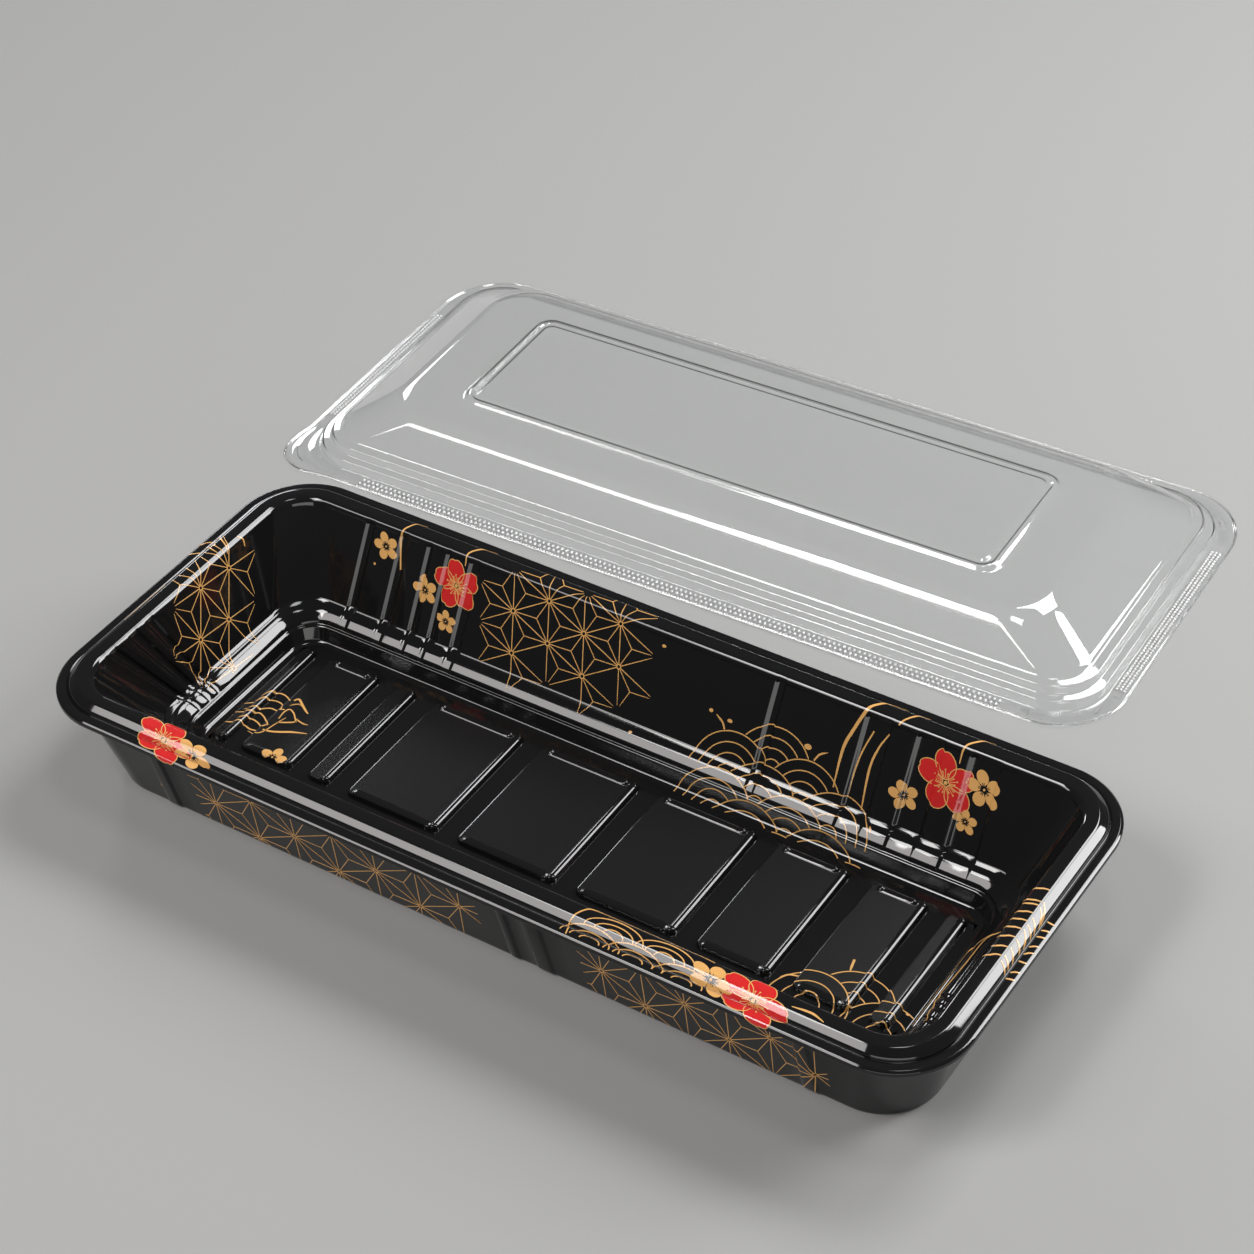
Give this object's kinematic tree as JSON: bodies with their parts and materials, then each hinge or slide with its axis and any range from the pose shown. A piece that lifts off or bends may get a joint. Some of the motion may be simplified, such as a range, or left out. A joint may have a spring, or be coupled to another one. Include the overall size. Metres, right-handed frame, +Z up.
{
  "type": "takeaway sushi tray",
  "caption": "Long black takeaway tray with a stepped rim, ledge and panelled floor, and its separate clear domed lid lying behind it.",
  "frame": {"origin": "centre of the tray's underside, on the surface it stands on", "axes": "+X along the tray's long side, to the right as seen from the front; +Y to the back, where the lid lies; +Z up"},
  "size_m": [0.245, 0.2139, 0.0263],
  "materials": {
    "printed_black": "gloss black plastic sheet with gold and red print",
    "clear_sheet": "clear gloss plastic sheet"
  },
  "bodies": {
    "root": {"tray": "printed_black", "lid": "clear_sheet"}
  },
  "joints": []
}
